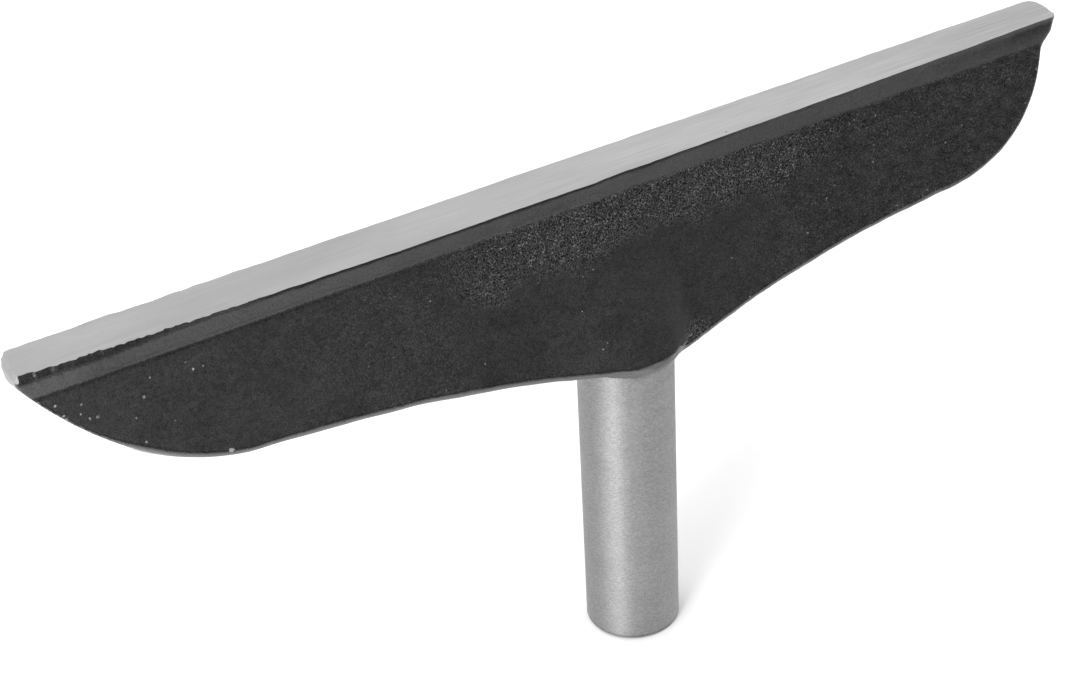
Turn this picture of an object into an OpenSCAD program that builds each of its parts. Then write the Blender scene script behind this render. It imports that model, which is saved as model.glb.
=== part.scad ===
// Tool rest for a wood lathe: a cast blade with a ground top flat, on a round steel stem.
// The origin is at the centre of the stem's foot. X runs along the blade, Z up, and the
// turner stands on the -Y side.

/* [Blade] */
// Length of the working edge
edge_length = 305; // [290:1:330]
// Height of the ground flat above the stem's foot
edge_height = 132; // [130:0.5:136]
// Width of the ground flat, front to back
flat_width = 13.6; // [12.8:0.1:15]
// Lean of the web from the vertical, in degrees
lean = 31.6; // [30:0.1:33]
// Thickness of the web, square to its face
web_thick = 7.5; // [7:0.1:8.5]
// Height of the straight lip below the ground flat
lip_height = 1.8; // [1:0.1:2.5]
// Height from the foot of the cove to the ground flat
cove_height = 6.6; // [6:0.1:8]
// Radius of the cove under the lip
cove_r = 6; // [5:0.5:10]
// Radius of the cove that flares out to the ends of the bar
end_cove_r = 14; // [12:0.5:20]
// Corner radius of the bar's ends at the back, in plan
back_corner_r = 3.5; // [2:0.1:4.5]

/* [Outline of the web] */
// Radius of the lobe at each end
lobe_r = 49.5; // [47:0.1:50]
// Distance of a lobe's centre from the middle of the blade
lobe_x = 100.3; // [98:0.1:101]
// Lowest point of a lobe, up the face from the stem's shoulder
lobe_low = 16.4; // [15:0.1:18]
// Radius of the hollow arch between the boss and a lobe
arch_r = 385; // [370:1:400]
// Distance of an arch's centre from the middle of the blade
arch_x = 118; // [114:0.5:122]

/* [Boss and stem] */
// Diameter of the stem
stem_d = 25.4; // [25.2:0.1:25.6]
// Height of the stem's shoulder, where the boss sits
shoulder_z = 87.2; // [86:0.1:88]
// Bevel round the stem's foot
foot_bevel = 0.8; // [0.5:0.1:1.5]
// Diameter of the boss
boss_d = 28; // [27.5:0.1:30]
// Height at which the front of the boss starts to lean back
cap_z = 91; // [90:0.5:94]
// Height at which the front of the boss meets the web's face
cap_top_z = 117; // [115:0.5:119]
// Diameter of the spigot that is pressed into the boss
spigot_d = 12; // [10:0.1:12]
// Length of the spigot above the shoulder
spigot_length = 8.5; // [8:0.1:9]

/* [Spring pin] */
// Diameter of the pin
pin_d = 3; // [2.5:0.5:3]
// Wall of the pin
pin_wall = 0.6; // [0.5:0.05:0.7]
// Width of the slot along the pin
pin_slot = 0.7; // [0.5:0.1:0.9]
// Height of the pin above the shoulder
pin_rise = 4.6; // [4.2:0.1:5]
// Front end of the pin, in front of the stem's axis
pin_reach = 9.5; // [8:0.1:10]
// Depth of the pin's back end below the back of the boss
pin_sink = 0.6; // [0.3:0.1:1]

/* [Hidden] */
$fn = 96;
over = 20;                          // how far a cutter reaches past what it cuts
arc_steps = 10;
half_edge = edge_length / 2;
boss_r = boss_d / 2;
spigot_r = spigot_d / 2;
stem_r = stem_d / 2;
pin_r = pin_d / 2;
web_depth = web_thick / cos(lean);  // the web's thickness along Y
face_y0 = -11.8;                    // Y of the web's face at the shoulder
end_rise = 2;                       // the bar's ends are full length this far up the face past the flat
cove_z = edge_height - cove_height;
lip_z = edge_height - lip_height;
pin_z = shoulder_z + pin_rise;
bore_gap = 0.6;                     // gap above the spigot, before the drill point
drill_point = spigot_r * tan(31);   // the cone that a drill leaves
bevel = 0.4;                        // broken edges on the stem and the pin
lead_in = 1;                        // bevel that leads the spigot into its bore
relief_width = 1.2;                 // relief groove at the foot of the spigot
relief_depth = 0.35;

// Y of the web's face at height z, and distance up the face at height z
function face_y(z) = face_y0 + (z - shoulder_z) * tan(lean);
function up_face(z) = (z - shoulder_z) / cos(lean);

// Points along the arc of radius r from a to b, with its centre on the left of the way from a to b
function arc(a, b, r) =
    let (
        half_chord = norm(b - a) / 2,
        way = (b - a) / (2 * half_chord),
        centre = (a + b) / 2 + sqrt(r * r - half_chord * half_chord) * [-way[1], way[0]],
        start = atan2(a[1] - centre[1], a[0] - centre[0]),
        turn = 2 * asin(half_chord / r)
    )
    [
        for (i = [0 : arc_steps])
            let (angle = start + turn * i / arc_steps)
                centre + r * [cos(angle), sin(angle)]
    ];

flat_back = face_y(edge_height) + web_depth;
flat_front = flat_back - flat_width;
lobe_w = lobe_low + lobe_r;         // how far up the face the centres of the lobes and the arches lie
arch_w = lobe_w - sqrt(pow(lobe_r + arch_r, 2) - pow(arch_x - lobe_x, 2));
neck_w = up_face(cove_z);
neck_x = lobe_x + sqrt(pow(lobe_r, 2) - pow(lobe_w - neck_w, 2));
end_w = up_face(edge_height) + end_rise;

// Section of the blade in Y and Z: leaning web, cove, lip and ground flat
module blade_section() {
    low_z = shoulder_z - over;
    polygon(concat(
        arc([face_y(cove_z), cove_z], [flat_front, lip_z], cove_r),
        [
            [flat_front, edge_height],
            [flat_back, edge_height],
            [face_y(low_z) + web_depth, low_z],
            [face_y(low_z), low_z]
        ]
    ));
}

// One half of the blade's outline, looking square at the web's face
module half_outline() {
    difference() {
        translate([0, -over])
            square([lobe_x, end_w + 2 * over]);
        translate([arch_x, arch_w])
            circle(r = arch_r, $fn = 720);
    }
    intersection() {
        translate([lobe_x, lobe_w])
            circle(r = lobe_r, $fn = 180);
        translate([lobe_x - 1, 0])
            square([lobe_r + 1, lobe_w]);
    }
    polygon(concat(
        arc([half_edge, end_w], [neck_x, neck_w], end_cove_r),
        [
            [lobe_x - 1, neck_w],
            [lobe_x - 1, end_w + over],
            [half_edge, end_w + over]
        ]
    ));
}

module blade_outline() {
    half_outline();
    mirror([1, 0])
        half_outline();
}

// Cuts the left end's back corner round, in plan
module back_corner() {
    r = back_corner_r;
    translate([-half_edge, flat_back, cove_z])
        difference() {
            translate([-1, -r, 0])
                cube([r + 1, r + 1, over]);
            translate([r, -r, -1])
                cylinder(r = r, h = over + 2);
        }
}

module blade() {
    difference() {
        intersection() {
            rotate([90, 0, 90])
                linear_extrude(height = edge_length + 2, center = true)
                    blade_section();
            translate([0, face_y0, shoulder_z])
                rotate([90 - lean, 0, 0])
                    linear_extrude(height = 2 * over, center = true)
                        blade_outline();
        }
        for (side = [0, 1])
            mirror([side, 0, 0])
                back_corner();
    }
}

// Round boss on the stem's axis. Its front leans back above cap_z until it meets the web's face.
module boss() {
    cap_slope = (face_y(cap_top_z) + boss_r) / (cap_top_z - cap_z);
    top_z = cap_top_z + 2;
    difference() {
        translate([0, 0, shoulder_z - 1])
            cylinder(r = boss_r, h = top_z - shoulder_z + 1);
        rotate([90, 0, 90])
            linear_extrude(height = 2 * over, center = true)
                polygon([
                    [-boss_r - over, cap_z],
                    [-boss_r, cap_z],
                    [-boss_r + cap_slope * over, cap_z + over],
                    [-boss_r - over, cap_z + over]
                ]);
    }
}

// Blind bore with a drill point, for the spigot
module spigot_bore() {
    depth = spigot_length + bore_gap;
    translate([0, 0, shoulder_z - 2])
        cylinder(r = spigot_r, h = depth + 2);
    translate([0, 0, shoulder_z + depth])
        cylinder(r1 = spigot_r, r2 = 0, h = drill_point);
}

// Cross hole for the spring pin, open at the back
module pin_hole() {
    translate([0, -pin_reach, pin_z])
        rotate([-90, 0, 0])
            cylinder(r = pin_r, h = pin_reach + boss_r + over);
}

// Cast-iron rest: blade and boss in one casting, bored from below and cross-drilled from behind
module rest_casting() {
    color([0.1, 0.1, 0.11])
        difference() {
            union() {
                blade();
                boss();
            }
            translate([-half_edge, -2 * over, shoulder_z - 2 * over])
                cube([edge_length, 4 * over, 2 * over]);
            spigot_bore();
            pin_hole();
        }
}

// Turned steel stem with its pressed spigot
module stem() {
    top_z = shoulder_z + spigot_length;
    color([0.72, 0.72, 0.73])
        difference() {
            rotate_extrude()
                polygon([
                    [0, 0],
                    [stem_r - foot_bevel, 0],
                    [stem_r, foot_bevel],
                    [stem_r, shoulder_z - bevel],
                    [stem_r - bevel, shoulder_z],
                    [spigot_r - relief_depth, shoulder_z],
                    [spigot_r - relief_depth, shoulder_z + relief_width],
                    [spigot_r, shoulder_z + relief_width],
                    [spigot_r, top_z - lead_in],
                    [spigot_r - lead_in, top_z],
                    [0, top_z]
                ]);
            pin_hole();
        }
}

// Slotted spring pin along Y
module spring_pin() {
    length = pin_reach + boss_r - pin_sink;
    bore_r = pin_r - pin_wall;
    color([0.45, 0.45, 0.47])
        translate([0, -pin_reach, pin_z])
            rotate([-90, 0, 0])
                difference() {
                    rotate_extrude()
                        polygon([
                            [bore_r, 0],
                            [pin_r - bevel, 0],
                            [pin_r, 2 * bevel],
                            [pin_r, length - 2 * bevel],
                            [pin_r - bevel, length],
                            [bore_r, length]
                        ]);
                    translate([-pin_slot / 2, 0, -1])
                        cube([pin_slot, pin_d, length + 2]);
                }
}

rest_casting();
stem();
spring_pin();
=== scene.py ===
"""Looks of a wood lathe tool rest: black painted casting with a ground top flat, on a turned stem.

Shapes are worked out in millimetres and scaled to metres when a mesh is made. X runs along the
blade, Z up, and the turner stands on the -Y side, as in the CAD.
"""

import math

import bmesh
import bpy
import numpy as np
import openvdb
from mathutils import Matrix, Vector


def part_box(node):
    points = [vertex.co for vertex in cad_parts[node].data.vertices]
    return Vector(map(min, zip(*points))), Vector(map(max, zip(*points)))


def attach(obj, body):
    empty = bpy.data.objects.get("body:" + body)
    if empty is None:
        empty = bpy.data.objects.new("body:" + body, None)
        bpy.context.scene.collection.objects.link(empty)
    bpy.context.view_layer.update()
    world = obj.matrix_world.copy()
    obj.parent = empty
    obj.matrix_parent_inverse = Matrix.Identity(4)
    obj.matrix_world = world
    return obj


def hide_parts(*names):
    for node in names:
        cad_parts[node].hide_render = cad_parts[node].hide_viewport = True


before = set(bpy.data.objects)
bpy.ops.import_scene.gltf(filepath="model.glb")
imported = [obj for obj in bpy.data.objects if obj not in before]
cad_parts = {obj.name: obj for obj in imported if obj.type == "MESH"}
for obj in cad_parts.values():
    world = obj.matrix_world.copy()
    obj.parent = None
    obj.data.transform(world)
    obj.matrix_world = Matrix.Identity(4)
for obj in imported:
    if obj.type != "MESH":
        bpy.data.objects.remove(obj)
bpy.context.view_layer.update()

MM = 0.001
BODY = "root"


def box_mm(node):
    """Lowest and highest corner of a CAD node, in millimetres."""
    return [np.array(corner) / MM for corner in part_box(node)]


CAST_LOW, CAST_HIGH = box_mm("rest_casting")
STEM_LOW, STEM_HIGH = box_mm("stem")
PIN_LOW, PIN_HIGH = box_mm("spring_pin")

# The blade, as the CAD has it
LEAN = math.radians(31.6)
WEB_THICK = 7.5
LOBE_R, LOBE_X, LOBE_LOW = 49.5, 100.3, 16.4
ARCH_R, ARCH_X = 385.0, 118.0
END_RISE = 2.0
COVE_HEIGHT = 6.6
BACK_CORNER_R = 3.5
BOSS_R = -CAST_LOW[1]
FLAT_Z = CAST_HIGH[2]
SHOULDER_Z = CAST_LOW[2]
HALF_EDGE = CAST_HIGH[0]
BACK_Y = CAST_HIGH[1]
COVE_Z = FLAT_Z - COVE_HEIGHT
FACE_Y0 = BACK_Y - WEB_THICK / math.cos(LEAN) - (FLAT_Z - SHOULDER_Z) * math.tan(LEAN)
COVE_Y = FACE_Y0 + (COVE_Z - SHOULDER_Z) * math.tan(LEAN)
LOBE_W = LOBE_LOW + LOBE_R
ARCH_W = LOBE_W - math.sqrt((LOBE_R + ARCH_R) ** 2 - (ARCH_X - LOBE_X) ** 2)
END_W = (FLAT_Z - SHOULDER_Z) / math.cos(LEAN) + END_RISE

# The bores in the boss: the spigot's, with its drill point, and the pin's
SPIGOT_R = 6.0
BORE_TOP_Z = STEM_HIGH[2] + 0.6
DRILL_ANGLE = math.radians(31)
PIN_R = (PIN_HIGH[0] - PIN_LOW[0]) / 2
PIN_Z = (PIN_LOW[2] + PIN_HIGH[2]) / 2

# Outline of each end as the casting has it: distance from the middle, and distance up the face
LEFT_LOBE_R, LEFT_SAG = 49.35, 0.55
LEFT_NECK, LEFT_END = (152.7, 48.2), (152.5, 57.4)
LEFT_FLARE_R = 11.0
LEFT_END_SLACK = 0.9
RIGHT_LOBE_R, RIGHT_SAG, RIGHT_SWELL = 50.1, -0.5, 0.4
RIGHT_NECK, RIGHT_BEND, RIGHT_END = (145.0, 42.7), (149.1, 47.1), (152.5, 55.0)
RIGHT_HOLLOW_R, RIGHT_BELLY_R = 14.0, 24.0

# Finish of the casting
EDGE_R = 1.5
TIP_DRAFT = 0.26
LIP_HEIGHT = 1.1
FOOT_BREAK = 0.5
BOSS_EDGE_R = 0.6
FOOT_FILLET_R, CAP_FILLET_R = 0.3, 3.7
LEFT_TOP_R, RIGHT_TOP_R = 1.6, 0.4
LEFT_BARE, LEFT_BARE_GROWTH, RIGHT_BARE = 1.4, 2.8, 0.45  # how far the ends are bare, downwards
CAP_FOOT_Z, CAP_TOP_Z, CAP_RISE = 91.0, 117.0, 3.8

# Steps of the grid that the casting is worked out on, and of the table that holds its outline
GRID_STEP = 0.64
TABLE_STEP = 0.4
OVER = 20.0  # how far the outline and its table run on past the end of the face
GRID_LOW_MARGIN, GRID_HIGH_MARGIN = (4, 2, 2), (2, 2, 3)

# Sides of the lathed stem
STEM_SIDES = 160

# Paint chips on the front that show a paler grey: centre and radius
CHIPS = [((-110.1, -2.1, 102.9), 0.6), ((-112.7, 8.8, 120.7), 0.32), ((-110.2, 8.8, 120.6), 0.26),
         ((-146.0, 10.0, 123.0), 0.4), ((-144.8, 8.6, 120.6), 0.3), ((-141.0, 8.0, 120.0), 0.4),
         ((-139.4, 7.4, 118.4), 0.3), ((-123.0, 9.6, 121.9), 0.26)]
GRAINY_RIM = (17, -10.5, 90)  # centre of a grainy patch beside the boss

# Where the paint changes
COVE_BLEND = (125.3, 126.2)  # heights over which the web's paint gives way to the cove's
RIGHT_BLEND = (28, 75)  # X over which the web's paint turns blotched and specked

# Greys of the glints painted in as specks and of the paint chips, of pits in the flat, and of the
# painted reflection of the floor on the lower rim
GLINT_AND_CHIP_GREY, PIT_GREY, FLOOR_SHEEN_GREY = 0.26, 0.18, 0.065

# The room: which way it is brightest, and its levels
BRIGHT_WAY = (0.75, 0.60, 0.25)
DIM_LEVEL, BRIGHT_LEVEL = 0.06, 1.10
BACKDROP = 0.93

# The camera, in metres and radians: from the front left, 35 degrees above the floor
CAMERA_AT = (-0.26934, -0.43328, 0.43541)
CAMERA_YAW, CAMERA_PITCH, CAMERA_ROLL = 0.5138, 0.5938, -0.0546
SENSOR_MM, LENS_MM = 36.0, 80.23


# ---------------------------------------------------------------- shape tools

def smoothstep(low, high, value):
    t = np.clip((value - low) / (high - low), 0, 1)
    return t * t * (3 - 2 * t)


def round_union(a, b, radius):
    """Union of two distance fields, with a fillet of that radius."""
    u, v = np.maximum(radius - a, 0), np.maximum(radius - b, 0)
    return np.maximum(radius, np.minimum(a, b)) - np.sqrt(u * u + v * v)


def round_cut(a, b, radius):
    """Intersection of two distance fields, with the edge between them rounded."""
    u, v = np.maximum(radius + a, 0), np.maximum(radius + b, 0)
    return np.minimum(-radius, np.maximum(a, b)) + np.sqrt(u * u + v * v)


def spline_weights(coords, size):
    """Cubic spline weights that spread a lattice with spacing size onto the coordinates."""
    t = (coords - coords[0]) / size
    cell = np.floor(t).astype(int)
    f = t - cell
    weights = np.zeros((len(coords), cell[-1] + 4), np.float32)
    rows = np.arange(len(coords))
    weights[rows, cell] = (1 - f) ** 3 / 6
    weights[rows, cell + 1] = (3 * f ** 3 - 6 * f ** 2 + 4) / 6
    weights[rows, cell + 2] = (-3 * f ** 3 + 3 * f ** 2 + 3 * f + 1) / 6
    weights[rows, cell + 3] = f ** 3 / 6
    return weights


def smooth_noise(axes, size, seed):
    """Random lumps of that size on the grid, with a spread of about 1."""
    rng = np.random.default_rng(seed)
    wx, wy, wz = (spline_weights(axis, size) for axis in axes)
    lattice = rng.standard_normal((wx.shape[1], wy.shape[1], wz.shape[1])).astype(np.float32)
    spread = np.tensordot(wx, lattice, (1, 0))
    return 3 * (wy @ spread @ wz.T)


def wobble(x, size):
    """An uneven line: a few waves of about that length that never quite repeat, up to about 1."""
    t = x * 2 * math.pi / size
    return 0.45 * np.sin(t) + 0.35 * np.sin(1.73 * t + 1.1) + 0.2 * np.sin(3.1 * t + 2.7)


def arc_points(a, b, radius, steps):
    """Points from a to b along an arc, with its centre on the left of the way from a to b."""
    a, b = np.array(a, float), np.array(b, float)
    way = (b - a) / np.linalg.norm(b - a)
    half = np.linalg.norm(b - a) / 2
    centre = (a + b) / 2 + math.sqrt(radius ** 2 - half ** 2) * np.array([-way[1], way[0]])
    start = math.atan2(a[1] - centre[1], a[0] - centre[0])
    turn = 2 * math.asin(half / radius)
    angles = start + turn * np.linspace(0, 1, steps)
    return centre + radius * np.stack([np.cos(angles), np.sin(angles)], 1)


def polygon_distance(points, px, py):
    """Signed distance from the grid px by py to a closed polygon, negative inside."""
    X, Y = np.meshgrid(px, py, indexing="ij")
    nearest = np.full(X.shape, 1e9)
    inside = np.zeros(X.shape, bool)
    for (ax, ay), (bx, by) in zip(points, np.roll(points, -1, 0)):
        dx, dy = bx - ax, by - ay
        t = np.clip(((X - ax) * dx + (Y - ay) * dy) / (dx * dx + dy * dy + 1e-12), 0, 1)
        nearest = np.minimum(nearest, np.hypot(X - ax - t * dx, Y - ay - t * dy))
        if ay != by:
            inside ^= ((ay > Y) != (by > Y)) & (X < ax + dx * (Y - ay) / dy)
    return np.where(inside, -nearest, nearest)


# ---------------------------------------------------------------- outline of the blade

def lobe_arc(start, neck, radius, sag, swell):
    """Round the lobe from the start angle to the neck, where the radius has grown to meet it.
    The radius is larger by the sag at the start, and by the swell on the way."""
    lobe, neck = np.array([LOBE_X, LOBE_W]), np.array(neck)
    along = np.linspace(0, 1, 48)[1:]
    angles = start + (math.atan2(neck[1] - lobe[1], neck[0] - lobe[0]) - start) * along
    reach = radius + (np.hypot(*(neck - lobe)) - radius) * along ** 2.9
    reach = reach + sag * smoothstep(0.5, 0, along) + swell * np.sin(math.pi * along ** 1.5) ** 2
    return lobe + reach[:, None] * np.stack([np.cos(angles), np.sin(angles)], 1)


def right_half(hollow, start, touch_x):
    """The right end has a narrow neck under the flat."""
    hollow[:, 1] -= 0.1 + 0.4 * smoothstep(touch_x, touch_x - 18, hollow[:, 0])
    tip = lobe_arc(start, RIGHT_NECK, RIGHT_LOBE_R, RIGHT_SAG, RIGHT_SWELL)
    bend = arc_points(RIGHT_BEND, RIGHT_NECK, RIGHT_HOLLOW_R, 12)[::-1][1:]
    belly = arc_points(RIGHT_BEND, RIGHT_END, RIGHT_BELLY_R, 12)[1:]
    return hollow, tip, np.concatenate([bend, belly])


def left_half(hollow, start):
    """The left end has nearly no neck, and its hollow is uneven."""
    x = hollow[:, 0]
    hollow[:, 1] -= 0.4 * smoothstep(55, 75, x)
    hollow[:, 1] += 0.45 * smoothstep(50, 25, x)
    hollow[:, 1] += 0.5 * smoothstep(18, 7, x) * smoothstep(0, 5, x)
    tip = lobe_arc(start, LEFT_NECK, LEFT_LOBE_R, LEFT_SAG, 0)
    return hollow, tip, arc_points(LEFT_NECK, LEFT_END, LEFT_FLARE_R, 20)[1:]


def outline_points(side):
    """Half of the blade, seen square at the face: distance from the middle, and up the face.
    Side is 1 for the right half and -1 for the left one."""
    start = math.atan2(ARCH_W - LOBE_W, ARCH_X - LOBE_X)
    touch_x = LOBE_X + LOBE_R * math.cos(start)
    x = np.linspace(0, touch_x, 60)
    hollow = np.stack([x, ARCH_W + np.sqrt(ARCH_R ** 2 - (x - ARCH_X) ** 2)], 1)
    parts = right_half(hollow, start, touch_x) if side > 0 else left_half(hollow, start)
    end_x, top, past_middle = parts[-1][-1][0], END_W + OVER, -3 * OVER
    closing = [[end_x, top], [past_middle, top], [past_middle, parts[0][0][1]]]
    return np.concatenate([*parts, closing])


# ---------------------------------------------------------------- front of the blade

def flat_front(x):
    """Y of the ground flat's front edge, which bows forward near the middle and is ragged."""
    s = (x + 20) / np.where(x > -20, 160, 125)
    bow = 10.1 + 2.5 * np.abs(s) ** np.where(x > -20, 1.5, 2.5)
    ragged = 0.32 * wobble(x + 3, 4.1) + 0.26 * wobble(x, 2.3)
    return bow + 0.04 * wobble(x, 4) + smoothstep(-60, -125, x) * ragged


def web_y(x, z):
    """Y of the web's front, which stands forward where it covers the boss."""
    web = FACE_Y0 + (z - SHOULDER_Z) * math.tan(LEAN)
    across = smoothstep(-30, -3, x) * smoothstep(17, 5, x)
    height = np.clip((CAP_TOP_Z - z) / (CAP_TOP_Z - CAP_FOOT_Z), 0, 1.2)
    raised = web - CAP_RISE * across * height / math.cos(LEAN)
    foot = -np.sqrt(np.maximum((BOSS_R + 0.1) ** 2 - np.maximum(x - 2, 0) ** 2, 0))
    foot = foot - 6 * np.maximum(z - CAP_FOOT_Z - 0.7 * wobble(x, 7), 0)
    return np.minimum(web, np.maximum(raised, foot))


def cove_y(x, z, cove_z, worn):
    """Y of the cove above cove_z, and of the lip over it, which is worn back at the left."""
    lip_z = FLAT_Z - LIP_HEIGHT - 0.2 * worn
    inset = 0.3 - 1.3 * worn
    rise = np.clip(flat_front(x) + inset - COVE_Y, -0.6, 1.6)
    t = np.clip((z - cove_z) / (lip_z - cove_z), 0, 1)
    u = np.clip((z - lip_z) / (FLAT_Z - lip_z), 0, 1.6)
    hollow = t ** (1 + 0.8 * smoothstep(0, 100, x))
    cove = COVE_Y + rise * hollow + (flat_front(x) - COVE_Y - rise) * u
    groove = np.sin(math.pi * np.clip((z - cove_z) / 1.3, 0, 1)) ** 2
    return cove + 0.12 * smoothstep(-20, -80, x) * groove


def front_y(x, z):
    """Y of the blade's front at x and z: leaning web, cove, and the lip under the flat."""
    worn = smoothstep(-50, -130, x)
    cove_z = COVE_Z + 0.10 * wobble(x + 7, 8) + 0.22 * worn * wobble(x, 3.1)
    return np.where(z < cove_z, web_y(x, z), cove_y(x, z, cove_z, worn))


# ---------------------------------------------------------------- casting

def outline_field(x, up):
    """Distance to the blade's outline, which is extruded square to the face."""
    table_w = np.arange(-2 * OVER, END_W + OVER, TABLE_STEP)
    left, right = (polygon_distance(outline_points(side), np.abs(x), table_w) for side in (-1, 1))
    table = np.where(x[:, None] < 0, left, right)
    at = np.clip((up[0] - table_w[0]) / TABLE_STEP, 0, len(table_w) - 1.001)
    cell = np.floor(at).astype(int)
    part = at - cell
    return table[:, cell] * (1 - part) + table[:, cell + 1] * part


def front_field(x, z, Y):
    """Distance to the blade's front, positive in front of it."""
    front_at = front_y(x[:, None], z[None, :])
    slope = np.gradient(front_at, z, axis=1)
    return (front_at[:, None, :] - Y) / np.sqrt(1 + slope[:, None, :] ** 2)


def blade_field(X, up, back, outline, front, tip):
    """The blade below the flat. Its edges are crisp at the left tip and under the flat."""
    crisp = np.maximum(tip, smoothstep(43, 47, up) * np.where(X < 0, 1, 0.4))
    blade = round_cut(outline, np.maximum(front, back), EDGE_R - 1.0 * crisp)
    end_x = np.where(X < 0, LEFT_END[0] + LEFT_END_SLACK, RIGHT_END[0])
    corner = round_cut(np.abs(X) - end_x, back / math.cos(LEAN), BACK_CORNER_R)
    return np.maximum(blade, corner)


def flat_field(X, Z, outline):
    """Distance to the ground flat, positive above it. Its two ends are rounded over."""
    inward = np.maximum(-outline, 0)
    end_r = np.where(X < 0, LEFT_TOP_R, RIGHT_TOP_R)
    drop = end_r - np.sqrt(np.maximum(end_r ** 2 - np.maximum(end_r - inward, 0) ** 2, 0))
    rise = np.clip(inward - end_r, 0, 3)
    return Z - FLAT_Z + drop - rise


def rough_zone(x, z):
    """How grainy the sand left the front: 1 over the middle and the right, near 0 at the left."""
    upper = smoothstep(112, 118, z) * smoothstep(-60, -20, x)
    right = 0.7 * smoothstep(20, 60, x)
    return np.maximum(upper, right) + 0 * (x + z)


def sand_skin(solid, axes, X, Z):
    """The uneven skin that the sand leaves, with a ragged foot and a ragged lip at the left."""
    solid = solid - 0.10 * smooth_noise(axes, 14, 3) - 0.045 * smooth_noise(axes, 5, 4)
    solid = solid - (0.012 + 0.028 * rough_zone(X, Z)) * smooth_noise(axes, 2.2, 5)
    foot = smoothstep(5, 1, Z - SHOULDER_Z)
    solid = solid - 0.20 * foot * smooth_noise(axes, 2.8, 6)
    lip_edge = smoothstep(129, 131, Z) * smoothstep(-40, -110, X)
    return solid - 0.12 * lip_edge * smooth_noise(axes, 1.7, 7)


def machined(solid, X, Y, Z, ring):
    """The machined foot, the spigot's bore with its drill point, and the cross hole."""
    solid = round_cut(solid, SHOULDER_Z - Z, FOOT_BREAK)
    cone = (Z - BORE_TOP_Z - (SPIGOT_R - ring) * math.tan(DRILL_ANGLE)) * math.cos(DRILL_ANGLE)
    bore = np.maximum(ring - SPIGOT_R, cone)
    hole = np.maximum(np.hypot(X, Z - PIN_Z) - PIN_R, PIN_LOW[1] - Y)
    return np.maximum(solid, -np.minimum(bore, hole))


def casting_field(x, y, z):
    """Distance field of the whole casting on the grid, in millimetres."""
    X, Y, Z = x[:, None, None], y[None, :, None], z[None, None, :]
    up = (Y - FACE_Y0) * math.sin(LEAN) + (Z - SHOULDER_Z) * math.cos(LEAN)
    depth = (Y - FACE_Y0) * math.cos(LEAN) - (Z - SHOULDER_Z) * math.sin(LEAN)
    tip = smoothstep(-127, -141, X)
    draft = TIP_DRAFT * tip * smoothstep(52, 47, up) * np.maximum(depth, 0)
    outline = outline_field(x, up) + draft
    front = front_field(x, z, Y)
    blade = blade_field(X, up, depth - WEB_THICK, outline, front, tip)
    blade = np.maximum(blade, flat_field(X, Z, outline))

    # Boss round the stem, behind the raised front
    ring = np.hypot(X, Y)
    above_foot = smoothstep(CAP_FOOT_Z - 1.5, CAP_FOOT_Z + 1, Z)
    boss_top = np.maximum(front + 3 * above_foot, Z - CAP_TOP_Z - 2)
    boss = round_cut(ring - BOSS_R, boss_top, BOSS_EDGE_R)
    fillet_r = FOOT_FILLET_R + (CAP_FILLET_R - FOOT_FILLET_R) * above_foot
    solid = round_union(blade, boss, fillet_r)
    solid = sand_skin(solid, (x, y, z), X, Z)
    return machined(solid, X, Y, Z, ring)


def casting_surface():
    """Corners and quads of the casting's surface, which runs on past the flat."""
    low = np.array([-HALF_EDGE, CAST_LOW[1], SHOULDER_Z]) - GRID_LOW_MARGIN
    high = np.array([HALF_EDGE, BACK_Y, FLAT_Z]) + GRID_HIGH_MARGIN
    axes = [np.arange(a, b, GRID_STEP) for a, b in zip(low, high)]
    field = casting_field(*axes)
    grid = openvdb.FloatGrid(5.0)
    grid.copyFromArray(np.ascontiguousarray(field, dtype=np.float32))
    points, quads = grid.convertToQuads()
    return points * GRID_STEP + low, quads


def cut_flat(work):
    """Cuts the casting at the flat's height and closes it with a flat face in the second slot."""
    cut = bmesh.ops.bisect_plane(
        work, geom=work.verts[:] + work.edges[:] + work.faces[:], dist=1e-5,
        plane_co=(0, 0, FLAT_Z), plane_no=(0, 0, 1), clear_outer=True)
    rim = [e for e in cut["geom_cut"] if isinstance(e, bmesh.types.BMEdge)]
    for face in work.faces:
        face.smooth = True
    made = bmesh.ops.triangle_fill(work, edges=rim, use_beauty=True, use_dissolve=False)
    for item in made["geom"]:
        if isinstance(item, bmesh.types.BMFace):
            item.smooth = False
            item.material_index = 1
    bmesh.ops.recalc_face_normals(work, faces=work.faces[:])
    for edge in rim:
        if edge.is_valid:
            edge.smooth = False


def bare_end(face):
    """True on the ground lips at the two ends of the flat."""
    centre, normal = face.calc_center_median(), face.normal
    left = LEFT_BARE + LEFT_BARE_GROWTH * smoothstep(11, 17, centre.y)
    deep = left if centre.x < 0 else RIGHT_BARE
    lowest = FLAT_Z - deep + 0.2 * wobble(centre.y, 3)
    outward = normal.x * math.copysign(1, centre.x)
    side = outward > 0.4 or normal.z > 0.9 or (centre.x < 0 and normal.y > 0)
    return centre.z > lowest and abs(centre.x) > HALF_EDGE - 2 and side


def casting_mesh():
    """Mesh of the casting: paint, then the ground flat, then the bare ends."""
    points, quads = casting_surface()
    mesh = bpy.data.meshes.new("cast_rest")
    mesh.from_pydata(points.tolist(), [], quads.tolist())
    work = bmesh.new()
    work.from_mesh(mesh)
    cut_flat(work)
    for face in work.faces:
        if face.material_index == 0 and bare_end(face):
            face.material_index = 2
    bmesh.ops.scale(work, vec=(MM, MM, MM), verts=work.verts[:])
    work.to_mesh(mesh)
    work.free()
    return mesh


# ---------------------------------------------------------------- stem

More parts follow.
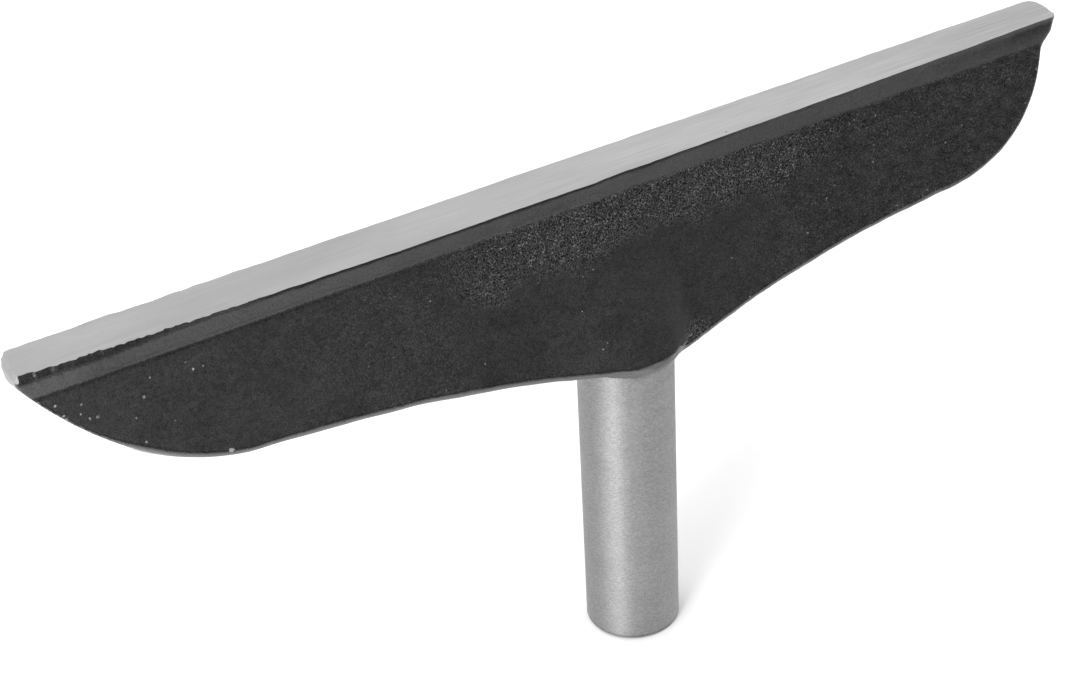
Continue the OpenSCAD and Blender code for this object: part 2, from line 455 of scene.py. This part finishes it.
def lathe(name, profile, around):
    """Mesh of a profile of radius and height, turned about Z. It starts and ends on the axis."""
    verts, faces = [], []
    for r, z in profile:
        ring = 1 if r == 0 else around
        angles = np.arange(ring) * 2 * math.pi / around
        verts.append([(r * math.cos(a) * MM, r * math.sin(a) * MM, z * MM) for a in angles])
    starts = np.cumsum([0] + [len(ring) for ring in verts])
    for i in range(len(profile) - 1):
        lower, upper = starts[i], starts[i + 1]
        for k in range(around):
            n = (k + 1) % around
            if len(verts[i]) == 1:
                faces.append((lower, upper + n, upper + k))
            elif len(verts[i + 1]) == 1:
                faces.append((lower + k, lower + n, upper))
            else:
                faces.append((lower + k, lower + n, upper + n, upper + k))
    mesh = bpy.data.meshes.new(name)
    mesh.from_pydata([v for ring in verts for v in ring], [], faces)
    return mesh


def turned_stem():
    """The stem with its spigot, lathed from one profile with rounded breaks."""
    radius = (STEM_HIGH[0] - STEM_LOW[0]) / 2
    top = STEM_HIGH[2]
    spigot, relief = SPIGOT_R - 0.02, SPIGOT_R - 0.35
    relief_top = SHOULDER_Z + 1.2
    profile = [(0, 0)]
    profile += [(r, 0) for r in np.linspace(2, radius - 0.95, 5)]
    profile += [(radius - 0.8, 0.03), (radius - 0.06, 0.74), (radius, 0.92)]
    profile += [(radius, z) for z in np.linspace(6, SHOULDER_Z - 6, 12)]
    profile += [(radius, SHOULDER_Z - 0.45), (radius - 0.4, SHOULDER_Z), (relief, SHOULDER_Z)]
    profile += [(relief, relief_top), (spigot, relief_top), (spigot, top - 1)]
    profile += [(spigot - 1, top), (0, top)]
    mesh = lathe("turned_stem", profile, STEM_SIDES)
    mesh.shade_smooth()
    mesh.set_sharp_from_angle(angle=math.radians(35))
    return mesh


# ---------------------------------------------------------------- node calls

class Nodes:
    """Short calls that build one material's node tree. Coordinates are in millimetres."""

    def __init__(self, name):
        self.material = bpy.data.materials.new(name)
        self.material.use_nodes = True
        self.tree = self.material.node_tree
        self.shader = self.tree.nodes["Principled BSDF"]
        source = self.new("ShaderNodeTexCoord")
        self.place = self.vector("SCALE", source.outputs["Object"], scale=1 / MM)
        self.normal = source.outputs["Normal"]
        split = self.new("ShaderNodeSeparateXYZ")
        self.feed(split.inputs[0], self.place)
        self.x, self.y, self.z = split.outputs

    def new(self, kind, **values):
        node = self.tree.nodes.new(kind)
        for key, value in values.items():
            setattr(node, key, value)
        return node

    def feed(self, socket, value):
        if isinstance(value, bpy.types.NodeSocket):
            self.tree.links.new(value, socket)
        else:
            socket.default_value = value

    def shade(self, **values):
        """Sets the shader's own sockets. An underscore in a name stands for a space."""
        for key, value in values.items():
            self.feed(self.shader.inputs[key.replace("_", " ")], value)

    def vector(self, operation, a, b=None, scale=None):
        node = self.new("ShaderNodeVectorMath", operation=operation)
        self.feed(node.inputs[0], a)
        if b is not None:
            self.feed(node.inputs[1], b)
        if scale is not None:
            self.feed(node.inputs["Scale"], scale)
        return node.outputs["Vector"]

    def number(self, operation, a, b):
        """A number from two vectors."""
        node = self.new("ShaderNodeVectorMath", operation=operation)
        self.feed(node.inputs[0], a)
        self.feed(node.inputs[1], b)
        return node.outputs["Value"]

    def math(self, operation, a, b=0.0, clamp=False):
        node = self.new("ShaderNodeMath", operation=operation, use_clamp=clamp)
        self.feed(node.inputs[0], a)
        self.feed(node.inputs[1], b)
        return node.outputs[0]

    def chain(self, operation, first, *others):
        for other in others:
            first = self.math(operation, first, other)
        return first

    def total(self, *values):
        return self.chain("ADD", *values)

    def product(self, *values):
        return self.chain("MULTIPLY", *values)

    def greatest(self, *values):
        return self.chain("MAXIMUM", *values)

    def inverse(self, value):
        return self.math("SUBTRACT", 1.0, value)

    def ramp(self, value, low, high, to_low=0.0, to_high=1.0, smooth=True):
        node = self.new("ShaderNodeMapRange")
        node.interpolation_type = "SMOOTHSTEP" if smooth else "LINEAR"
        for key, number in (("Value", value), ("From Min", low), ("From Max", high),
                            ("To Min", to_low), ("To Max", to_high)):
            self.feed(node.inputs[key], number)
        return node.outputs["Result"]

    def line(self, value, low, high, to_low=0.0, to_high=1.0):
        """A ramp that is straight between its ends."""
        return self.ramp(value, low, high, to_low, to_high, smooth=False)

    def stretched(self, x, y, z):
        """Coordinates scaled on each axis, for grain that runs one way."""
        return self.vector("MULTIPLY", self.place, (x, y, z))

    def noise(self, size, detail=2.0, roughness=0.5, at=None):
        node = self.new("ShaderNodeTexNoise")
        self.feed(node.inputs["Vector"], at or self.place)
        node.inputs["Scale"].default_value = 1 / size
        node.inputs["Detail"].default_value = detail
        node.inputs["Roughness"].default_value = roughness
        return node.outputs["Fac"]

    def cells(self, size):
        """Distance to the nearest of scattered points, and a random number for that point."""
        node = self.new("ShaderNodeTexVoronoi")
        self.feed(node.inputs["Vector"], self.place)
        node.inputs["Scale"].default_value = 1 / size
        colour = self.new("ShaderNodeSeparateColor")
        self.feed(colour.inputs[0], node.outputs["Color"])
        return node.outputs["Distance"], colour.outputs[0]

    def distance(self, point):
        return self.number("DISTANCE", self.place, point)

    def facing(self, way):
        """1 where the surface faces that way, 0 where it is square to it."""
        return self.number("DOT_PRODUCT", self.normal, way)

    def grey_of(self, value):
        """A grey colour of that value."""
        node = self.new("ShaderNodeCombineColor")
        for key in ("Red", "Green", "Blue"):
            self.feed(node.inputs[key], value)
        return node.outputs[0]

    def mix(self, factor, a, b):
        node = self.new("ShaderNodeMix", data_type="RGBA")
        self.feed(node.inputs["Factor"], factor)
        self.feed(node.inputs[6], a)
        self.feed(node.inputs[7], b)
        return node.outputs[2]

    def mix_value(self, factor, a, b):
        node = self.new("ShaderNodeMix", data_type="FLOAT")
        self.feed(node.inputs["Factor"], factor)
        self.feed(node.inputs[2], a)
        self.feed(node.inputs[3], b)
        return node.outputs[0]

    def bump(self, height, strength, depth_mm):
        node = self.new("ShaderNodeBump")
        self.feed(node.inputs["Height"], height)
        node.inputs["Strength"].default_value = strength
        node.inputs["Distance"].default_value = depth_mm * MM
        self.feed(self.shader.inputs["Normal"], node.outputs["Normal"])


def grey(value):
    return (value, value, value, 1.0)


# ---------------------------------------------------------------- paint

def grain_zone(m):
    """How grainy the paint is: most over the upper middle, some at the right, little elsewhere."""
    patches = m.noise(18, detail=3)
    edge = m.total(m.z, m.line(patches, 0.3, 0.7, -5, 5))
    upper = m.product(m.ramp(edge, 110.5, 118.5), m.ramp(m.x, -62, -20), m.ramp(m.x, 45, 95, 1, 0.4))
    right = m.ramp(m.x, 15, 60, 0, 0.3)
    left = m.product(m.ramp(m.x, -43, -52, 0, 0.22), m.ramp(m.x, -100, -58))
    boss_rim = m.ramp(m.distance(GRAINY_RIM), 7, 3.5, 0, 0.7)
    return m.greatest(upper, right, left, boss_rim)


def sparkles(m, fine, grit_near, grit):
    """Painted glints: grains of sand that catch the light, drawn into the paint's colour as bright
    specks.
    """
    lit = m.product(m.math("POWER", grit, 2.5), m.ramp(grit_near, 0.8, 0.25))
    return m.product(lit, m.ramp(fine, 0.42, 0.62), m.ramp(m.noise(2.6), 0.3, 0.65, 0.35, 0.9))


def dots(m, rough):
    """Painted glints: scattered bright specks, with more of them at the right and at the left tip.
    """
    near, pick = m.cells(1.7)
    tip = m.product(m.ramp(m.x, -112, -138), m.ramp(m.noise(9), 0.42, 0.6))
    right = m.ramp(m.x, *RIGHT_BLEND, 0.02, 0.07)
    chance = m.total(m.product(rough, 0.12), right, m.product(tip, 0.22))
    return m.product(m.ramp(near, 0.16, 0.05), m.math("LESS_THAN", pick, chance))


def flakes(m, fine):
    """Small flakes of lost paint at the left tip."""
    near, pick = m.cells(2.3)
    band = m.product(m.ramp(m.x, -118, -130), m.ramp(m.z, 123, 120))
    flaked = m.math("LESS_THAN", pick, m.product(band, 0.4))
    shape = m.product(flaked, m.ramp(fine, 0.3, 0.6, 0.3, 1))
    return m.product(m.ramp(near, 0.21, 0.1), shape, 0.8)


def with_chips(m, speck):
    """The painted glint specks, and the paint chips over them."""
    for place, radius in CHIPS:
        reach = 0.3 * radius
        uneven = m.total(m.distance(place), m.ramp(m.noise(0.5), 0.3, 0.7, -reach, reach))
        chip = m.ramp(uneven, radius * 1.1, radius * 0.5, 0, 3.2 * radius)
        speck = m.greatest(speck, chip)
    return speck


def lower_rim(m):
    """Masks of the web's lower edge, which faces the floor and gets a painted reflection of it, and
    of the line just above it.
    """
    downhill = m.facing((0, -math.sin(LEAN), -math.cos(LEAN)))
    web = m.ramp(m.z, 125, 124)
    rim = m.product(m.ramp(downhill, 0.3, 0.7), web, m.ramp(m.x, 40, 110, 1, 0.4))
    above = m.product(m.ramp(downhill, 0.1, 0.2), m.ramp(downhill, 0.4, 0.25), web)
    return rim, above


def cove_shine(m):
    """How the paint's shine changes along the cove and the lip: a painted sheen, weaker at the right
    and stronger toward the left, and painted shade in the crease and under the lip.
    """
    # Painted sheen: the cove's shine follows the light along the blade
    along = m.total(m.ramp(m.x, 60, 0, -0.08, 0.17), m.ramp(m.x, -60, -100, 0, -0.08),
                    m.ramp(m.x, -130, -143, 0, 0.40), m.ramp(m.x, -122, -135, 0, -0.2))
    painted_cove_sheen = m.total(m.product(along, m.ramp(m.z, *COVE_BLEND)), 1.0)
    ragged = m.total(m.z, m.line(m.noise(0.9), 0.3, 0.7, -0.3, 0.3))
    # Painted shade: less shine along the crease at the foot of the cove
    crease = m.product(m.ramp(ragged, 124.5, 125.1), m.ramp(ragged, 125.9, 125.5),
                       m.ramp(m.x, -20, -90, 0, 0.45), m.ramp(m.y, 16, 14))
    # Painted shade: less shine in a band under the flat's lip at the left
    lip = m.math("SUBTRACT", ragged, m.ramp(m.x, -140, -105, 0, 1.0))
    lip = m.product(m.ramp(lip, 129.4, 130.2), m.ramp(m.x, -55, -85))
    return m.product(painted_cove_sheen, m.inverse(crease), m.inverse(m.product(lip, 0.5)))


def web_shine(m):
    """How the paint's shine changes along the web, which is blotched at the right."""
    blotch = m.noise(2.2, detail=4, roughness=0.65, at=m.stretched(0.5, 1, 1))
    blotch = m.total(m.line(blotch, 0.35, 0.65, 0.46, 1.08), -1.0)
    blotched = m.total(m.product(blotch, m.ramp(m.x, *RIGHT_BLEND)), 1.0)
    return m.mix_value(m.ramp(m.z, *COVE_BLEND), blotched, 1.0)


def paint_shine(m, rough, fine, coarse, rim, above_rim):
    """Strength of the paint's reflection, with painted sheen and shade worked into it."""
    hollow, crest = m.ramp(rough, 0, 1, 0.45, 0.12), m.ramp(rough, 0, 1, 0.53, 0.86)
    grain = m.product(m.ramp(fine, 0.36, 0.62, hollow, crest), m.ramp(coarse, 0.3, 0.7, 0.91, 1.08))
    # Painted sheen: more shine toward the left end, where more light falls
    left = m.ramp(m.x, -110, -20, 1.22, 1.03)
    # More shine on the lower rim, with its painted reflection of the floor, and less on the line
    # just above it
    edge = m.product(m.total(m.product(rim, 0.5), 1.0), m.inverse(m.product(above_rim, 0.55)))
    return m.product(grain, cove_shine(m), left, web_shine(m), edge)


def paint_material():
    """Gloss black paint over a sand-cast skin, with glints painted in as bright specks, and a few
    chips.
    """
    m = Nodes("cast_paint")
    under_cove = m.ramp(m.z, 125.2, 126.2, 1, 0.12)
    rough = m.product(grain_zone(m), under_cove)
    fine = m.noise(0.32, detail=1, roughness=0.6, at=m.stretched(1, 1, 0.72))
    coarse = m.noise(1.3, detail=2)
    grit_near, grit = m.cells(0.45)
    grain = m.product(m.total(fine, m.product(grit, 0.5)), m.line(rough, 0, 1, 0.3, 1))
    m.bump(m.total(grain, m.product(coarse, 0.5)), 0.9, 0.12)

    # Painted glints, from the sparkles and the dots, and flakes of lost paint, all taken to one
    # paler grey
    dot = m.greatest(dots(m, rough), flakes(m, fine))
    lit = m.product(sparkles(m, fine, grit_near, grit), rough)
    speck = m.product(m.math("ADD", lit, dot, clamp=True), under_cove)
    speck = with_chips(m, speck)

    rim, above_rim = lower_rim(m)
    clouds = m.ramp(m.noise(7, detail=3), 0.35, 0.65, 0.008, 0.012)
    mottle = m.line(fine, 0.3, 0.7, 0.1, 1.9)
    # Painted reflection: the lower rim, which faces the floor, is lifted to a grey
    base = m.total(m.product(clouds, mottle), m.product(rim, FLOOR_SHEEN_GREY))
    m.shade(Base_Color=m.mix(speck, m.grey_of(base), grey(GLINT_AND_CHIP_GREY)),
            Roughness=m.ramp(coarse, 0.3, 0.7, 0.28, 0.42),
            Specular_IOR_Level=paint_shine(m, rough, fine, coarse, rim, above_rim),
            IOR=1.5)
    return m.material


# ---------------------------------------------------------------- bare metal

def ground_material(name, low, high, roughness):
    """Bare iron, ground along the blade, and lighter right of its middle."""
    m = Nodes(name)
    long_lines = m.noise(1.0, detail=3, roughness=0.65, at=m.stretched(0.035, 3.2, 1.0))
    fine_lines = m.noise(0.35, detail=2, at=m.stretched(0.06, 2.6, 1.0))
    clouds = m.noise(16, detail=3, at=m.stretched(0.5, 1.6, 1.0))
    marked = m.product(m.line(long_lines, 0.25, 0.75, -1, 1), m.ramp(m.x, -80, 70, 0.045, 0.11))
    # Lighter right of the middle, fading toward the right end
    right_lift = m.product(m.ramp(m.x, -80, 40), m.ramp(m.x, 145, 70, 0.3, 1))
    tone = m.total(marked, m.line(clouds, 0.3, 0.7, low, high), m.product(right_lift, 0.045))
    near, pick = m.cells(5.0)
    pit = m.product(m.ramp(near, 0.11, 0.04), m.math("LESS_THAN", pick, 0.06))
    m.shade(Base_Color=m.mix(pit, m.grey_of(tone), grey(PIT_GREY)),
            Roughness=m.ramp(fine_lines, 0.3, 0.7, roughness - 0.07, roughness + 0.07),
            Metallic=1.0)
    m.bump(m.total(long_lines, m.product(fine_lines, 0.6)), 0.35, 0.03)
    return m.material


def steel_material(name, low, high, roughness, rings):
    """Turned steel, with fine rings round the stem's axis, light wear, and painted contact shade
    that darkens the foot.
    """
    m = Nodes(name)
    ring_lines = m.noise(0.30, detail=2, roughness=0.6, at=m.stretched(0.30, 0.30, 1.0))
    streaks = m.noise(0.9, detail=2, at=m.stretched(0.05, 0.05, 1.0))
    speckle = m.noise(0.30, detail=1, roughness=0.6)
    clouds = m.noise(11, detail=3)
    lines = m.total(m.product(ring_lines, 0.5), m.product(speckle, 0.5))
    tone = m.total(m.line(lines, 0.35, 0.65, low, high), m.line(clouds, 0.3, 0.7, -0.015, 0.015),
                   m.line(streaks, 0.3, 0.7, -0.012, 0.012))
    # Painted shade: darker over the lowest millimetres, where the stem meets the floor
    tone = m.product(tone, m.ramp(m.z, 0.3, 1.7, 0.35, 1))
    tangent = m.new("ShaderNodeTangent", direction_type="RADIAL", axis="Z")
    m.shade(Base_Color=m.grey_of(tone),
            Roughness=m.ramp(streaks, 0.3, 0.7, roughness - 0.05, roughness + 0.05),
            Metallic=1.0, Anisotropic=0.8, Anisotropic_Rotation=0.25,
            Tangent=tangent.outputs[0])
    m.bump(m.total(lines, streaks), rings, 0.03)
    return m.material


# ---------------------------------------------------------------- pieces

def add(name, mesh, materials, slot, *nodes):
    piece = bpy.data.objects.new(name, mesh)
    bpy.context.scene.collection.objects.link(piece)
    for material in materials:
        mesh.materials.append(material)
    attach(piece, BODY)
    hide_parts(*nodes)
    return piece


finishes = [paint_material(), ground_material("ground_iron", 0.44, 0.50, 0.41),
            ground_material("worn_iron", 0.42, 0.48, 0.80)]
add("cast_rest", casting_mesh(), finishes, "casting_paint", "rest_casting")
add("turned_stem", turned_stem(), [steel_material("turned_steel", 0.28, 0.45, 0.58, 0.4)],
    "stem_steel", "stem")
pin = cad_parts["spring_pin"]
pin.data.materials.clear()
pin.data.materials.append(steel_material("spring_steel", 0.16, 0.24, 0.38, 0.3))


# ---------------------------------------------------------------- floor, light and camera

def pale(name, value):
    material = bpy.data.materials.new(name)
    material.use_nodes = True
    shader = material.node_tree.nodes["Principled BSDF"]
    shader.inputs["Base Color"].default_value = grey(value)
    shader.inputs["Roughness"].default_value = 0.9
    shader.inputs["Specular IOR Level"].default_value = 0.1
    return material


def floor():
    half = 12.0
    mesh = bpy.data.meshes.new("floor")
    corners = [(-half, -half, 0), (half, -half, 0), (half, half, 0), (-half, half, 0)]
    mesh.from_pydata(corners, [], [(0, 1, 2, 3)])
    mesh.materials.append(pale("floor_white", 0.95))
    plane = bpy.data.objects.new("floor", mesh)
    bpy.context.scene.collection.objects.link(plane)


def softbox(name, place, target, size, power):
    light = bpy.data.lights.new(name, "AREA")
    light.shape = "RECTANGLE"
    light.size, light.size_y = size
    light.energy = power
    lamp = bpy.data.objects.new(name, light)
    lamp.location = place
    lamp.rotation_mode = "QUATERNION"
    lamp.rotation_quaternion = (Vector(target) - Vector(place)).to_track_quat("-Z", "Y")
    lamp.visible_camera = False
    bpy.context.scene.collection.objects.link(lamp)


def studio():
    """A bright room behind the object, a dimmer one in front of it, and a plain pale backdrop."""
    world = bpy.data.worlds.new("studio")
    bpy.context.scene.world = world
    world.use_nodes = True
    tree = world.node_tree
    tree.nodes.clear()
    way = tree.nodes.new("ShaderNodeTexCoord")
    toward = tree.nodes.new("ShaderNodeVectorMath")
    toward.operation = "DOT_PRODUCT"
    toward.inputs[1].default_value = BRIGHT_WAY
    tree.links.new(way.outputs["Generated"], toward.inputs[0])
    level = tree.nodes.new("ShaderNodeMapRange")
    level.inputs["From Min"].default_value = -0.7
    level.inputs["From Max"].default_value = 1.0
    level.inputs["To Min"].default_value = DIM_LEVEL
    level.inputs["To Max"].default_value = BRIGHT_LEVEL
    tree.links.new(toward.outputs["Value"], level.inputs["Value"])
    room = tree.nodes.new("ShaderNodeBackground")
    tree.links.new(level.outputs["Result"], room.inputs["Strength"])
    seen = tree.nodes.new("ShaderNodeBackground")
    seen.inputs["Color"].default_value = grey(BACKDROP)
    path = tree.nodes.new("ShaderNodeLightPath")
    pick = tree.nodes.new("ShaderNodeMixShader")
    tree.links.new(path.outputs["Is Camera Ray"], pick.inputs[0])
    tree.links.new(room.outputs[0], pick.inputs[1])
    tree.links.new(seen.outputs[0], pick.inputs[2])
    out = tree.nodes.new("ShaderNodeOutputWorld")
    tree.links.new(pick.outputs[0], out.inputs["Surface"])


def camera():
    """The camera, turned by its yaw and pitch and then rolled about its own axis."""
    yaw, pitch, roll = CAMERA_YAW, CAMERA_PITCH, CAMERA_ROLL
    level = Vector((math.cos(yaw), -math.sin(yaw), 0))
    reach = math.cos(pitch)
    ahead = Vector((math.sin(yaw) * reach, math.cos(yaw) * reach, -math.sin(pitch)))
    upright = level.cross(ahead)
    right = math.cos(roll) * level + math.sin(roll) * upright
    up = math.cos(roll) * upright - math.sin(roll) * level
    data = bpy.data.cameras.new("camera")
    data.sensor_width = SENSOR_MM
    data.lens = LENS_MM
    data.clip_start, data.clip_end = 0.01, 50.0
    view = bpy.data.objects.new("camera", data)
    turned = Matrix((right, up, -ahead)).transposed().to_4x4()
    view.matrix_world = Matrix.Translation(Vector(CAMERA_AT)) @ turned
    bpy.context.scene.collection.objects.link(view)
    bpy.context.scene.camera = view


floor()
studio()
softbox("key", (-0.80, -0.50, 0.60), (0, 0, 0.04), (0.30, 0.30), 4.5)
softbox("top", (-0.3, 0.1, 1.9), (0, 0, 0), (2.4, 2.4), 40)
softbox("side", (-1.15, -0.34, 0.42), (0, 0, 0.06), (0.9, 0.5), 5.5)
softbox("front", (-0.25, -1.3, 0.80), (-0.1, 0, 0.11), (0.7, 0.5), 1.6)
camera()
bpy.context.scene.view_settings.view_transform = "Standard"
